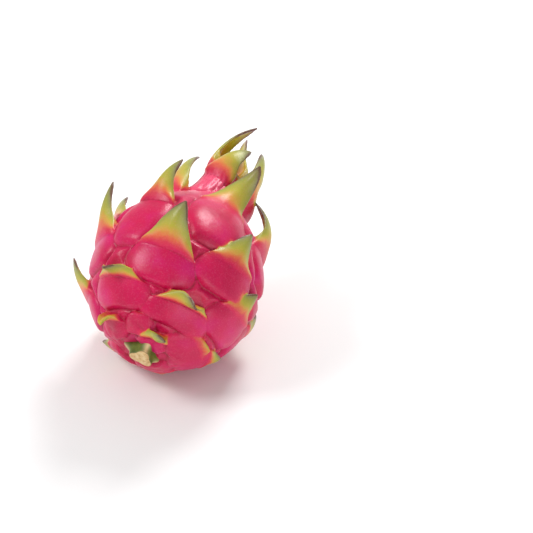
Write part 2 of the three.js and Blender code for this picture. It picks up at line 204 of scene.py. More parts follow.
# How fine the meshes are: samples of the outline and how many of them lie short of the crown's middle,
# rows and columns of the body, points across a scale's faces, rows along it and steps between two rows.
OUTLINE_SAMPLES, SHORT_OF_MIDDLE = 1201, 1190
BODY_ROWS, BODY_COLUMNS, BODY_LEAST_RADIUS = 260, 400, 9
OUTER_COUNT, INNER_COUNT, INNER_SHARE = 25, 17, 0.985
PLATE_ROWS, FLAG_ROWS, SPINE_STEPS = 16, 34, 8

# Finest step of the skin's mesh, rounds of smoothing, and the most triangles that it keeps.
SKIN_VOXEL = 0.4
SKIN_SMOOTHING = 4
SKIN_TRIANGLES = 180000

# Colours, as red, green and blue, and ramps of them with their stops.
BODY_PINKS = [(0.3, (0.46, 0.0, 0.05)), (0.5, (0.54, 0.0, 0.068)), (0.72, (0.6, 0.005, 0.14))]
NECK_PINK = (0.72, 0.07, 0.16)
# Painted shade: the darker pink that is laid into the creases, where shade falls.
CREASE_SHADE_PINK = (0.34, 0.0, 0.025)
SPECK_PINK = (0.95, 0.35, 0.5)
OUTER_FACE = [
    (0.04, (0.62, 0.004, 0.07)), (0.14, (0.6, 0.03, 0.06)), (0.24, (0.66, 0.13, 0.05)),
    (0.34, (0.58, 0.3, 0.05)), (0.48, (0.42, 0.37, 0.04)), (0.7, (0.3, 0.31, 0.05)),
    (0.92, (0.22, 0.21, 0.08)), (1.0, (0.13, 0.08, 0.04)),
]
INNER_FACE = [
    (0.05, (0.6, 0.03, 0.05)), (0.2, (0.6, 0.1, 0.02)), (0.42, (0.55, 0.3, 0.01)),
    (0.7, (0.48, 0.42, 0.02)), (0.92, (0.3, 0.18, 0.03)), (0.99, (0.12, 0.03, 0.02)),
]
RIND_GREENS = [(0.3, (0.06, 0.1, 0.008)), (0.55, (0.12, 0.18, 0.02)), (0.75, (0.2, 0.24, 0.05))]
CORK = (0.6, 0.45, 0.22)
CUT_BROWN = (0.26, 0.13, 0.04)
PITH = [(0.3, (0.42, 0.22, 0.07)), (0.5, (0.66, 0.45, 0.2)), (0.7, (0.78, 0.62, 0.36))]
MAROONS = [(0.45, (0.05, 0.008, 0.008)), (0.65, (0.17, 0.02, 0.02)), (0.85, (0.33, 0.09, 0.05))]
RIM_FADE = [(0.55, (0.0, 0.0, 0.0)), (0.9, (1.0, 1.0, 1.0))]
STRAW_DARK, STRAW_LIGHT = (0.3, 0.16, 0.07), (0.62, 0.45, 0.24)
PAPER = (0.9, 0.9, 0.9, 1)
WHITE = (1, 1, 1, 1)

# How colours meet: painted shade darkening the creases, weaker on the neck, patches of ripening, and how
# sharply each begins.
CREASE_SHADE_STRENGTH, LESS_SHADE_ON_NECK, SPECK_STRENGTH = 0.9, 0.45, 0.4
RIPE_PATCHES, FLAG_SHARPNESS = 0.14, 12
CORK_SHARPNESS, FACE_SHARPNESS, PITH_START, PITH_SHARPNESS = 12, 5, 0.4, 2.5
MOTTLES = 0.3
COARSE_PORES = 0.2

# The photograph's view.
VIEW_AZIMUTH = 20.0
VIEW_ELEVATION = 35.0
VIEW_DISTANCE = 0.9
PHOTO_SIZE = 533
PHOTO_CENTRE = (175.0, 283.0)  # pixel of the middle of the widest ring
PHOTO_SCALE = 1838.0  # pixels to the metre at that distance
SENSOR_WIDTH = 36
NEAREST, FARTHEST = 0.05, 20

# The stage, in metres and watts: name, place, size and power of each light, and where they all point.
LIGHTS = [
    ("top_light", (0.06, 0.63, 0.63), 0.3, 5.5),
    ("left_light", (-0.54, -0.28, 0.66), 0.3, 4),
    ("front_light", (0.65, -0.75, 0.3), 0.6, 3.2),
]
LIT_POINT = (0, 0, 0.04)
WORLD_STRENGTH = 0.48
FLOOR_SIZE = 8


# Outline and skin

def spline(points, t):
    """A Catmull-Rom curve through the points, at shares t of its length."""
    pts = np.array(points, float)
    last = len(pts) - 1
    place = last * t
    i = np.minimum(np.floor(place).astype(int), last)
    w = (place - i)[:, None]
    p0, p1 = pts[np.maximum(i - 1, 0)], pts[i]
    p2, p3 = pts[np.minimum(i + 1, last)], pts[np.minimum(i + 2, last)]
    v0, v1 = (p2 - p0) / 2, (p3 - p1) / 2
    return (2 * p1 - 2 * p2 + v0 + v1) * w**3 + (-3 * p1 + 3 * p2 - 2 * v0 - v1) * w**2 + v0 * w + p1


outline_points = spline(OUTLINE, np.linspace(0, 1, OUTLINE_SAMPLES))
outline_length = np.concatenate([[0], np.cumsum(np.linalg.norm(np.diff(outline_points, axis=0), axis=1))])
outline_length -= outline_length[np.argmin(np.abs(outline_points[:, 0]))]


def outline_at(length):
    """Along and radius at an arc length from the widest ring; the neck runs straight on past its end."""
    near = np.minimum(length, STRAIGHT_NECK)
    along = np.interp(near, outline_length, outline_points[:, 0]) + (length - near)
    return along, np.interp(near, outline_length, outline_points[:, 1])


def unit(vectors):
    """The vectors at a length of one."""
    return vectors / (np.linalg.norm(vectors, axis=-1, keepdims=True) + TINY)


def skin_at(length, azimuth):
    """The skin's point, its direction toward the crown, its outward normal and its sideways direction."""
    along, radius = outline_at(length)
    before, after = outline_at(length - 1), outline_at(length + 1)
    run = unit(np.stack([after[0] - before[0], after[1] - before[1]], -1))
    s, c = np.sin(azimuth), np.cos(azimuth)
    point = np.stack([radius * s, along, radius * c], -1)
    up = np.stack([run[..., 1] * s, run[..., 0], run[..., 1] * c], -1)
    normal = np.stack([run[..., 0] * s, -run[..., 1], run[..., 0] * c], -1)
    side = np.stack([c, np.zeros_like(c), -s], -1)
    return point, up, normal, side


def lie(points):
    """Turns the fruit's own frame (+Y the axis) into the part's, still in millimetres."""
    s, c = math.sin(AXIS_TILT * DEG), math.cos(AXIS_TILT * DEG)
    x, y, z = points[..., 0], points[..., 1], points[..., 2]
    return np.stack([x, y * c - z * s, y * s + z * c + AXIS_HEIGHT], -1)


def smooth(start, end, x):
    """A soft step from 0 at the start to 1 at the end."""
    x = np.clip((x - start) / (end - start), 0, 1)
    return x * x * (3 - 2 * x)


# Scales

def scale_by_rule(number):
    """The place, size and bend of a scale by its number alone; the first ones stand in the crown."""
    azimuth = SPIRAL_START - SPIRAL_TURN * number
    if number < FIRST_ON_BODY:
        inward = FIRST_ON_BODY - 1 - number
        return dict(azimuth=azimuth, seat=CROWN_SEAT + inward, **CROWN_SCALE)
    share = (number - FIRST_ON_BODY) / (LAST_SCALE - FIRST_ON_BODY)
    low = max(0, (number - FALL_START) / FALL_COUNT)
    return dict(
        azimuth=azimuth,
        seat=FIRST_SEAT - SEAT_STEP * number + SEAT_CROWDING * number * number,
        half=WIDEST_HALF - HALF_FALL * low,
        plate=LONGEST_PLATE - PLATE_FALL * share,
        flag=LONGEST_FLAG - FLAG_FALL * share,
        lean=FLAG_LEAN,
        curl=0,
        horn=FLAG_HORN,
    )


def plate_half(share, half):
    """Half a plate's width at a share of its length, from its foot to the seat."""
    flank = math.sin(min(share / FLANK_REACH, 1) * math.pi / 2) ** FLANK_CURVE
    belly = BELLY * math.sin(math.pi * min(max((share - BELLY_START) / (1 - BELLY_START), 0), 1))
    return half * (PLATE_FOOT + (1 - PLATE_FOOT) * flank + belly)


def flag_half(share, half, horn):
    """Half a flag's width at a share of its length, from the seat to its tip."""
    wings = (1 - horn) * (1 - share) ** WING_TAPER
    blade = horn * (1 - share**BLADE_FULLNESS) ** BLADE_CURVE
    return max(half * (wings + blade), TIP_HALF)


def pillow(u):
    """The height of a swollen scale across it, from -1 to 1 at its edges."""
    return np.maximum(0, 1 - np.abs(u) ** PILLOW_FLATNESS) ** PILLOW_EDGE


class Scale:
    """One scale: a swollen plate on the skin that runs on as a free flag."""

    def __init__(self, number):
        values = {"sweep": 0, "turn": 0, **scale_by_rule(number), **SEEN.get(number, {})}
        self.__dict__.update(values)
        self.azimuth, self.turn = self.azimuth * DEG, self.turn * DEG
        self.lean, self.curl, self.sweep = self.lean * DEG, self.curl * DEG, self.sweep * DEG
        self.outer = np.sin(np.linspace(-1, 1, OUTER_COUNT) * math.pi / 2)
        self.inner = np.sin(np.linspace(1, -1, INNER_COUNT) * math.pi / 2) * INNER_SHARE
        self.seat_radius = max(float(outline_at(self.seat)[1]), LEAST_SEAT_RADIUS)
        self.rows, self.blade = [], []
        for i in range(PLATE_ROWS):
            self.plate_row(i / PLATE_ROWS)
        self.lay_spine()
        for i in range(FLAG_ROWS + 1):
            self.flag_row(i)

    def place(self, x, y):
        """The skin's point at x across the scale and y along it, with its three directions."""
        sideways = x * math.cos(self.turn) + y * math.sin(self.turn)
        length = self.seat - x * math.sin(self.turn) + y * math.cos(self.turn)
        radius = np.maximum(outline_at(length)[1], LEAST_ROUND * self.seat_radius)
        point, up, normal, side = skin_at(length, self.azimuth + sideways / radius)
        c, s = math.cos(self.turn), math.sin(self.turn)
        return point, up * c + side * s, normal, side * c - up * s

    def plate_row(self, share):
        """One row across the plate, swollen above the skin and rooted under it."""
        half = plate_half(share, self.half)
        y = -self.plate * (1 - share)
        swell = 1 - (1 - min(share / FOOT_LENGTH, 1)) ** FOOT_CURVE
        point, _, normal, _ = self.place(self.outer * half, y + 0 * self.outer)
        height = (PLATE_RISE + PLATE_SINK) * swell * pillow(self.outer) - PLATE_SINK
        under, _, down, _ = self.place(self.inner * half, y + 0 * self.inner)
        self.rows.append(lie(np.concatenate([point + normal * height[:, None], under - down * ROOT_DEPTH])))
        self.blade.append(share - 1)

    def lay_spine(self):
        """The flag's middle line: it leaves the plate's crest, leans off the skin, curls and sweeps aside."""
        total = FLAG_ROWS * SPINE_STEPS
        zero = np.zeros(1)
        self.root, up, normal, side = [v[0] for v in self.place(zero, zero)]
        self.up = up
        position = self.root + normal * PLATE_RISE
        self.spine = []
        for i in range(total + 1):
            share = i / total
            bend = self.lean + (self.curl - self.lean) * share**CURL_EASE
            along = up * math.cos(self.sweep * share) + side * math.sin(self.sweep * share)
            forward = along * math.cos(bend) + normal * math.sin(bend)
            if i % SPINE_STEPS == 0:
                lifted = normal * math.cos(bend) - along * math.sin(bend)
                across = unit(np.cross(forward, lifted))
                self.spine.append((position.copy(), across, unit(np.cross(across, forward))))
            position = position + forward * self.flag / total

    def flag_row(self, row):
        """One row across the flag, hugging the skin near the seat and free farther on."""
        share = row / FLAG_ROWS
        half = flag_half(share, self.half, self.horn)
        point, across, normal = self.spine[row]
        y = min(float(np.dot(point - self.root, self.up)), self.flag * HUG_REACH)
        under, _, out, _ = [v[0] for v in self.place(np.zeros(1), np.full(1, y))]
        lift = float(np.dot(point - under, out))
        root = (ROOT_DEPTH + PLATE_RISE) * (1 - smooth(*ROOT_ENDS, share))
        thick = FLAG_THICK * (1 - TIP_THINNING * share) * min(1, half / NARROW_HALF + NARROW_THICK)
        free = smooth(*COMES_FREE, share)
        risen = smooth(*WINGS_RISE, share)
        edge = WING_LIFT * risen - PLATE_SINK * (1 - risen)

        def spots(u, inward):
            """Points across the flag at shares u of its half width, some depth inside its outer face."""
            skin, _, away, _ = self.place(u * half, y + 0 * u)
            profile = pillow(u) * (1 - free) + (1 - u * u) * free
            hugging = skin + away * (edge + (lift - edge) * profile)[:, None]
            cupped = CUP_DEPTH * half * np.abs(u) ** CUP_CURVE
            flying = point + across * (u * half)[:, None] - normal * cupped[:, None]
            outward = unit(away * (1 - free) + normal * free)
            place = lie(hugging * (1 - free) + flying * free - outward * inward[:, None])
            place[:, 2] = np.maximum(place[:, 2], FLOOR_CLEAR + np.minimum(inward, FLAG_THICK))
            return place

        outer = spots(self.outer, 0 * self.outer)
        inner = spots(self.inner, thick * (1 - MARGIN_THINNING * self.inner**2) + root)
        self.rows.append(np.concatenate([outer, inner]))
        self.blade.append(share)

    def vertices(self):
        """All rows as one list of points."""
        return np.concatenate(self.rows)

    def faces(self):
        """Quads between the rows, and a face at each end."""
        width, count = len(self.rows[0]), len(self.rows)
        quads = []
        for i in range(count - 1):
            low, high = i * width, (i + 1) * width
            for j in range(width):
                after = (j + 1) % width
                quads.append((low + j, low + after, high + after, high + j))
        first = tuple(range(width))[::-1]
        last = tuple((count - 1) * width + j for j in range(width))
        return quads + [first, last]

    def marks(self):
        """For each vertex: share along the flag (negative on the plate), share across, and side."""
        width, count = len(self.rows[0]), len(self.rows)
        blade = np.repeat(self.blade, width)
        margin = np.tile(np.concatenate([np.abs(self.outer), np.abs(self.inner)]), count)
        side = np.tile([OUTER_SIDE] * OUTER_COUNT + [INNER_SIDE] * INNER_COUNT, count)
        return np.stack([blade, margin, side], -1)


# Meshes and their points

def mesh_object(name, points, faces):
    """A new piece from points in millimetres."""
    mesh = bpy.data.meshes.new(name)
    mesh.from_pydata((points * MM).tolist(), [], faces)
    mesh.update()
    piece = bpy.data.objects.new(name, mesh)
    bpy.context.scene.collection.objects.link(piece)
    return piece


def only(piece):
    """Selects one piece and makes it the active one."""
    bpy.ops.object.select_all(action="DESELECT")
    piece.select_set(True)
    bpy.context.view_layer.objects.active = piece


def apply_modifier(piece, kind, **settings):
    """Adds a modifier with its settings and applies it."""
    only(piece)
    modifier = piece.modifiers.new(kind.lower(), kind)
    for key, value in settings.items():
        setattr(modifier, key, value)
    bpy.ops.object.modifier_apply(modifier=modifier.name)


def vertex_places(mesh):
    """The places of the mesh's vertices, in metres."""
    places = np.empty(len(mesh.vertices) * 3, np.float32)
    mesh.vertices.foreach_get("co", places)
    return places.reshape(-1, 3)


def vertex_normals(mesh):
    """The directions in which the mesh's vertices face."""
    normals = np.empty(len(mesh.vertices) * 3, np.float32)
    mesh.vertices.foreach_get("normal", normals)
    return normals.reshape(-1, 3)


def store(mesh, name, values):
    """Keeps one value for each vertex, for the materials to read."""
    kept = mesh.attributes.new(name, "FLOAT", "POINT")
    kept.data.foreach_set("value", np.ascontiguousarray(values, np.float32))


def spread(mesh, values, rounds):
    """Evens per-vertex values out along the mesh's edges."""
    edges = np.empty(len(mesh.edges) * 2, np.int32)
    mesh.edges.foreach_get("vertices", edges)
    a, b = edges.reshape(-1, 2).T
    count = np.bincount(a, minlength=len(values)) + np.bincount(b, minlength=len(values))
    for _ in range(rounds):
        total = np.zeros_like(values)
        for column in range(values.shape[1]):
            total[:, column] = np.bincount(a, values[b, column], len(values))
            total[:, column] += np.bincount(b, values[a, column], len(values))
        values = (1 - SPREAD_SHARE) * values + SPREAD_SHARE * total / np.maximum(count, 1)[:, None]
    return values


def cavities(mesh):
    """How far each point lies in a crease (1) or on a ridge (-1), against the surface around it."""
    places = vertex_places(mesh).astype(float)
    below = ((spread(mesh, places, CREASE_ROUNDS) - places) * vertex_normals(mesh)).sum(1)
    return np.clip(below / (CREASE_DEPTH * MM), -1, 1)


# The skin

def lathe(profile, around, shape):
    """A closed lathed mesh in the fruit's frame, with each ring shaped.
    The profile is (along, radius), its ends on the axis."""
    angles = np.linspace(0, 2 * math.pi, around, endpoint=False)
    rings = []
    for along, radius in profile[1:-1]:
        ring = np.stack([radius * np.sin(angles), np.full(around, along), radius * np.cos(angles)], -1)
        rings.append(shape(ring, angles))
    points = np.concatenate([[[0, profile[0][0], 0]], *rings, [[0, profile[-1][0], 0]]])
    faces = [(0, 1 + j, 1 + (j + 1) % around) for j in range(around)]
    for i in range(len(rings) - 1):
        low, high = 1 + i * around, 1 + (i + 1) * around
        for j in range(around):
            after = (j + 1) % around
            faces.append((low + j, high + j, high + after, low + after))
    low = 1 + (len(rings) - 1) * around
    faces += [(low + (j + 1) % around, low + j, len(points) - 1) for j in range(around)]
    return points, faces


def folds_at(azimuth, along, count, sway, sways, slant, start=0.0):
    """Waves around the axis that sway to the sides and slant along it."""
    return np.sin(count * azimuth + sway * np.sin(sways * azimuth + start) + along / slant)


def lumps_at(x, y, length, sway, sway_length):
    """Waves along x that sway with y."""
    return np.sin(x / length + sway * np.sin(y / sway_length))


def swell_at(along, azimuth, scales):
    """How far the bare skin swells between the plates, less the groove that runs around each of them."""
    length = np.interp(along, outline_points[:SHORT_OF_MIDDLE, 0], outline_length[:SHORT_OF_MIDDLE])
    shares = np.linspace(0, 1, PROFILE_SAMPLES)
    valley, groove = np.zeros_like(length), np.zeros_like(length)
    for scale in scales:
        turned = (azimuth - scale.azimuth + math.pi) % (2 * math.pi) - math.pi
        radius = np.maximum(outline_at(length)[1], LEAST_ROUND * scale.seat_radius)
        sideways, up = turned * radius, length - scale.seat
        x = sideways * math.cos(scale.turn) - up * math.sin(scale.turn)
        y = sideways * math.sin(scale.turn) + up * math.cos(scale.turn)
        plates = [plate_half(share, scale.half) for share in shares]
        wings = [flag_half(share, scale.half, scale.horn) for share in shares]
        plate = np.interp(np.clip(1 + y / scale.plate, 0, 1), shares, plates)
        half = np.where(y > 0, np.interp(y / scale.flag, shares, wings), plate)
        away = np.maximum(np.maximum(np.abs(x) - half, -scale.plate - y), 0)
        valley = np.maximum(valley, np.exp(-((away / SWELL_WIDTH) ** 2)) * (1 - smooth(*VALLEY_ENDS, y)))
        groove = np.maximum(groove, np.exp(-((away / GROOVE_WIDTH) ** 2)) * (1 - smooth(*GROOVE_ENDS, y)))
    return SKIN_FILL * (1 - valley) - GROOVE_DEPTH * groove


def body_piece(scales):
    """The bare body, a little uneven, swollen between the plates and finely folded on the neck."""
    def uneven(ring, angles):
        """One ring of the body with its folds, waves and swelling."""
        along = ring[:, 1]
        neck = smooth(*NECK_BEGINS, along)
        folds = NECK_FOLD_DEPTH * neck * np.abs(folds_at(angles, along, **NECK_FOLDS))
        slanting = np.sin(WAVE_COUNT * angles + along / WAVE_SLANT)
        waves = WAVE_DEPTH * slanting * np.sin(along / WAVE_LENGTH) * (1 - neck)
        fill = (1 - neck) * smooth(*FILL_BEGINS, along) * swell_at(along, angles, scales)
        radius = np.hypot(ring[:, 0], ring[:, 2])
        grow = 1 + (folds + waves + fill) / np.maximum(radius, BODY_LEAST_RADIUS)
        return ring * np.stack([grow, np.ones_like(grow), grow], -1)

    profile = spline(OUTLINE, np.linspace(0, 1, BODY_ROWS))
    points, faces = lathe(profile, BODY_COLUMNS, uneven)
    return mesh_object("body", lie(points), faces)


def wrinkled(mesh):
    """The skin's points with lengthwise wrinkles on the neck and crumpled folds around the stem."""
    places = vertex_places(mesh).astype(float)
    s, c = math.sin(AXIS_TILT * DEG), math.cos(AXIS_TILT * DEG)
    level = places[:, 2] - AXIS_HEIGHT * MM
    along = (places[:, 1] * c + level * s) / MM
    across = (level * c - places[:, 1] * s) / MM
    sideways = places[:, 0] / MM
    azimuth, radius = np.arctan2(sideways, across), np.hypot(sideways, across)
    coarse = np.maximum(folds_at(azimuth, along, **WRINKLES), 0) ** 2
    fine = np.maximum(folds_at(azimuth, along, **FINE_WRINKLES), 0) ** 2
    patchy = 0.5 + 0.5 * np.sin(PATCH_COUNT * azimuth + along / PATCH_SLANT)
    skin = np.interp(along, outline_points[:SHORT_OF_MIDDLE, 0], outline_points[:SHORT_OF_MIDDLE, 1])
    near_skin = 1 - smooth(*OFF_SKIN, radius - skin)
    neck = smooth(*WRINKLES_BEGIN, along) * (1 - smooth(*WRINKLES_END, along)) * near_skin
    depth = neck * (WRINKLE_DEPTH * patchy * coarse + FINE_WRINKLE_DEPTH * fine)
    ring = smooth(*LUMPS_INSIDE, radius)
    stem_end = (1 - smooth(*LUMPS_END, along)) * ring * (1 - smooth(*LUMPS_OUTSIDE, radius))
    lumps = lumps_at(sideways, across, **LUMPS_SIDEWAYS) * lumps_at(across, sideways, **LUMPS_ACROSS)
    depth += LUMP_DEPTH * stem_end * lumps
    return places - vertex_normals(mesh) * (depth * MM)[:, None]


def marked_points(scales):
    """Points on all scales and on the bare skin, each with its marks: blade, margin, side and growth."""
    samples, marks = [], []
    for scale in scales:
        samples.append(scale.vertices())
        grown = min(1, scale.flag / SHORT_FLAG) ** 2
        marks.append(np.concatenate([scale.marks(), np.full((len(samples[-1]), 1), grown)], -1))
    grid = np.meshgrid(np.linspace(*BARE_LENGTHS, BARE_ROWS), np.linspace(0, 2 * math.pi, BARE_COLUMNS))
    point, _, normal, _ = skin_at(grid[0].ravel(), grid[1].ravel())
    for height in BARE_HEIGHTS:
        samples.append(lie(point + normal * height))
        marks.append(np.tile(BARE_MARKS, (len(point), 1)))
    return np.concatenate(samples) * MM, np.concatenate(marks)


def mark_skin(piece, scales):
    """Writes where each point of the skin lies on its scale, for the material."""
    samples, marks = marked_points(scales)
    tree = KDTree(len(samples))
    for i, place in enumerate(samples):
        tree.insert(place, i)
    tree.balance()
    places = vertex_places(piece.data)
    blade, margin, side, grown = marks[[tree.find(place)[1] for place in places]].T
    inner = (side == INNER_SIDE).astype(float)
    edge = MARGIN_RIPE * margin**MARGIN_CURVE * smooth(*MARGIN_BEGINS, blade) * grown
    ripe = np.where(side == BARE_SIDE, 0, np.clip(blade, 0, 1) * grown + edge)
    along = (places[:, 1] * math.cos(AXIS_TILT * DEG) + places[:, 2] * math.sin(AXIS_TILT * DEG)) / MM
    neck = smooth(*NECK_COLOUR, along)
    values = spread(piece.data, np.stack([ripe, inner, neck], -1), MARK_ROUNDS)
    for name, column in zip(("ripe", "inner", "neck"), values.T):
        store(piece.data, name, column)
    # How deep each point lies in a crease, which the material reads to paint shade into the creases.
    store(piece.data, "crease_shade", cavities(piece.data))


def fruit_piece():
    """Body and scales joined into one skin, remeshed, smoothed, thinned, wrinkled and marked."""
    scales = [Scale(number) for number in range(FIRST_SCALE, LAST_SCALE + 1)]
    parts = [body_piece(scales)] + [mesh_object("scale", s.vertices(), s.faces()) for s in scales]
    only(parts[0])
    for part in parts:
        part.select_set(True)
    bpy.ops.object.join()
    fruit = bpy.context.object
    fruit.name = "fruit_skin"
    apply_modifier(fruit, "REMESH", mode="VOXEL", voxel_size=SKIN_VOXEL * MM)
    apply_modifier(fruit, "SMOOTH", factor=0.5, iterations=SKIN_SMOOTHING)
    triangles = sum(len(p.vertices) - 2 for p in fruit.data.polygons)
    apply_modifier(fruit, "DECIMATE", ratio=min(1, SKIN_TRIANGLES / triangles))
    places = wrinkled(fruit.data)
    places[:, 2] = np.maximum(places[:, 2], 0)
    fruit.data.vertices.foreach_set("co", places.ravel())
    fruit.data.update()
    mark_skin(fruit, scales)
    fruit.data.shade_smooth()
    return fruit


# The stem and the dried flower

def ring_piece(name, sides, radius):
    """A new upright piece: one filled ring at the origin, open to editing with its face selected."""
    bpy.ops.object.select_all(action="DESELECT")
    bpy.ops.mesh.primitive_circle_add(vertices=sides, radius=radius * MM, fill_type="NGON")
    piece = bpy.context.object
    piece.name = name
    bpy.ops.object.mode_set(mode="EDIT")
    bpy.ops.mesh.select_all(action="SELECT")
    return piece


def draw_out(rise, scale=1.0):
    """Extrudes the selected face along the piece's axis and scales its end."""
    bpy.ops.mesh.extrude_region_move(TRANSFORM_OT_translate={"value": (0, 0, rise * MM)})
    bpy.ops.transform.resize(value=(scale, scale, 1))


def grow_across(share):
    """Scales the selected corners away from the piece's axis."""
    bpy.ops.transform.resize(value=(share, share, 1), center_override=(0, 0, 0))


def select_corners(piece, chosen):
    """Selects the corners that the test chooses by their place, in millimetres."""
    bpy.ops.mesh.select_all(action="DESELECT")
    bpy.ops.object.mode_set(mode="OBJECT")
    for corner in piece.data.vertices:
        corner.select = bool(chosen(corner.co / MM))
    bpy.ops.object.mode_set(mode="EDIT")


def on_column(place, side, sides):
    """Whether a corner stands on one of the equal columns around the piece's axis."""
    turned = math.atan2(place.x, place.y) - 2 * math.pi * side / sides
    return place.xy.length > AXIS_REACH and math.cos(turned) > math.cos(math.pi / sides)


def stand_in_fruit(piece, foot, aside=0.0):
    """Lays an upright piece along the fruit's axis, its foot at a distance from the widest ring."""
    bpy.ops.object.mode_set(mode="EDIT")
    bpy.ops.mesh.select_all(action="SELECT")
    bpy.ops.mesh.normals_make_consistent(inside=False)
    bpy.ops.object.mode_set(mode="OBJECT")
    places = vertex_places(piece.data).astype(float) / MM
    in_fruit = np.stack([places[:, 0] + aside, places[:, 2] + foot, places[:, 1]], -1)
    piece.data.vertices.foreach_set("co", (lie(in_fruit) * MM).astype(np.float32).ravel())
    piece.data.flip_normals()
    piece.data.update()
    piece.data.shade_smooth()


def rib_at(angle):
    """Where the stem's ribs stand around it: 1 on a rib's crest and -1 between two."""
    return math.cos(STEM_RIB_COUNT * (angle - STEM_RIB_TURN * DEG))


def stem_piece():
    """The ribbed stub of green stem: a ring drawn out in steps, its ribs pulled out column by column."""
    length = STEM_INSIDE - STEM_OUTSIDE
    step = length / STEM_STEPS
    stem = ring_piece("stem_end", STEM_SIDES, STEM_RADIUS)
    for _ in range(STEM_STEPS):
        draw_out(-step)
    bpy.ops.mesh.inset(thickness=STEM_RIM * MM)
    bpy.ops.mesh.inset(thickness=STEM_HOLLOW * STEM_RADIUS * MM, depth=-STEM_SINK * MM)
    for i in range(STEM_STEPS + 1):
        def on_ring(place):
            """Whether a corner lies on this step's ring."""
            return abs(place.z + i * step) < step / 2

        out = i / STEM_STEPS
        flare = STEM_FLARE * (1 - smooth(*FLARE_ENDS, out))
        for side in range(STEM_SIDES):
            rib = rib_at(2 * math.pi * side / STEM_SIDES)
            select_corners(stem, lambda place: on_ring(place) and on_column(place, side, STEM_SIDES))
            grow_across(1 + STEM_RIBS * rib + flare * max(rib, 0) ** STEM_RIB_CURVE / STEM_RADIUS)
        select_corners(stem, on_ring)
        bpy.ops.transform.translate(value=(STEM_BEND * out * MM, 0, 0))
    bpy.ops.object.mode_set(mode="OBJECT")
    apply_modifier(stem, "SUBSURF", levels=STEM_LEVELS, render_levels=STEM_LEVELS)
    mark_stem(stem.data, length)
    stand_in_fruit(stem, STEM_INSIDE)
    return stem


def mark_stem(mesh, length):
    """Writes, for the material, where the ribs run and where the cut face lies."""
    places = vertex_places(mesh) / MM
    out = -places[:, 2] / length
    sideways = places[:, 0] - STEM_BEND * out
    rib = np.cos(STEM_RIB_COUNT * (np.arctan2(sideways, places[:, 1]) - STEM_RIB_TURN * DEG))
    reach = np.hypot(sideways, places[:, 1]) / (STEM_RADIUS * (1 + STEM_RIBS * rib))
    store(mesh, "rib", 0.5 + 0.5 * rib)
    store(mesh, "cut", (1 - smooth(*CUT_MARGIN, reach)) * smooth(*CUT_START, out))


def tear_at(angle):
    """How far the torn rim stands above its middle height, or below."""
    return TUBE_RAGGED * sum(share * math.sin(count * angle + start) for share, count, start in TEARS)


def flower_piece():
    """The thin dried tube: drawn up, hollowed by an inset, then torn and ribbed column by column."""
    height = TUBE_RIM - TUBE_FOOT
    flower = ring_piece("dried_flower", TUBE_SIDES, TUBE_OUTER - TUBE_SPREAD)
    draw_out(TUBE_STEP, TUBE_OUTER / (TUBE_OUTER - TUBE_SPREAD))
    draw_out(height - 2 * TUBE_STEP)
    draw_out(TUBE_STEP, (TUBE_OUTER + TUBE_SPREAD) / TUBE_OUTER)
    bpy.ops.mesh.inset(thickness=(TUBE_OUTER - TUBE_INNER) * MM)
    draw_out(-TUBE_STEP, TUBE_INNER / (TUBE_INNER + TUBE_SPREAD))
    draw_out(TUBE_FLOOR - TUBE_RIM + TUBE_STEP)
    for side in range(TUBE_SIDES):
        def on_side(place):
            """Whether a corner stands on this side's column."""
            return on_column(place, side, TUBE_SIDES)

        tear = tear_at(2 * math.pi * side / TUBE_SIDES)
        select_corners(flower, lambda place: place.z > height - TEAR_REACH and on_side(place))
        bpy.ops.transform.translate(value=(0, 0, tear * MM))
        if side % 2:
            select_corners(flower, lambda place: place.z > TUBE_STEP / 2 and on_side(place))
            grow_across(TUBE_RIB)
    bpy.ops.object.mode_set(mode="OBJECT")
    apply_modifier(flower, "SUBSURF", levels=TUBE_LEVELS, render_levels=TUBE_LEVELS)
    store(flower.data, "height", vertex_places(flower.data)[:, 2] / (height * MM))
    stand_in_fruit(flower, TUBE_FOOT, TUBE_ASIDE)
    return flower


# Nodes that the materials are built from

def new_material(name):
    """A new material, with its nodes and links."""
    material = bpy.data.materials.new(name)
    material.use_nodes = True
    return material, material.node_tree.nodes, material.node_tree.links


def add_node(nodes, kind, **settings):
    """A new node with its settings."""
    node = nodes.new(kind)
    for key, value in settings.items():
        setattr(node, key, value)
    return node


def feed(links, socket, value):
    """Sets a socket to a number or a colour, or links another node's output to it."""
    if isinstance(value, (int, float)):
        socket.default_value = value
    elif isinstance(value, tuple):
        socket.default_value = (*value, 1)
    else:
        links.new(value, socket)


def ramp(nodes, links, factor, stops):
    """The colour on a ramp where the factor says."""
    node = nodes.new("ShaderNodeValToRGB")
    elements = node.color_ramp.elements
    while len(elements) < len(stops):
        elements.new(0.5)
    for element, (place, color) in zip(elements, stops):
        element.position = place
        element.color = (*color, 1)
    links.new(factor, node.inputs["Fac"])
    return node.outputs["Color"]


def mix_color(nodes, links, factor, a, b):
    """Goes from colour a to colour b by the factor; a colour Mix node has them in its sockets 6, 7 and 2."""
    node = add_node(nodes, "ShaderNodeMix", data_type="RGBA", blend_type="MIX")
    feed(links, node.inputs["Factor"], factor)
    feed(links, node.inputs[6], a)
    feed(links, node.inputs[7], b)
    return node.outputs[2]


def maths(nodes, links, operation, a, b, clamp=False):
    """One sum with two values."""
    node = add_node(nodes, "ShaderNodeMath", operation=operation, use_clamp=clamp)
    feed(links, node.inputs[0], a)
    feed(links, node.inputs[1], b)
    return node.outputs[0]


def noise(nodes, links, scale, detail):
    """Soft spots over the piece, as a value around a half."""
    where = nodes.new("ShaderNodeTexCoord").outputs["Object"]
    node = nodes.new("ShaderNodeTexNoise")
    feed(links, node.inputs["Scale"], scale)
    node.inputs["Detail"].default_value = detail
    links.new(where, node.inputs["Vector"])
    return node.outputs["Fac"]


def attribute(nodes, name):
    """A value that the mesh keeps for each vertex."""
    return add_node(nodes, "ShaderNodeAttribute", attribute_name=name).outputs["Fac"]


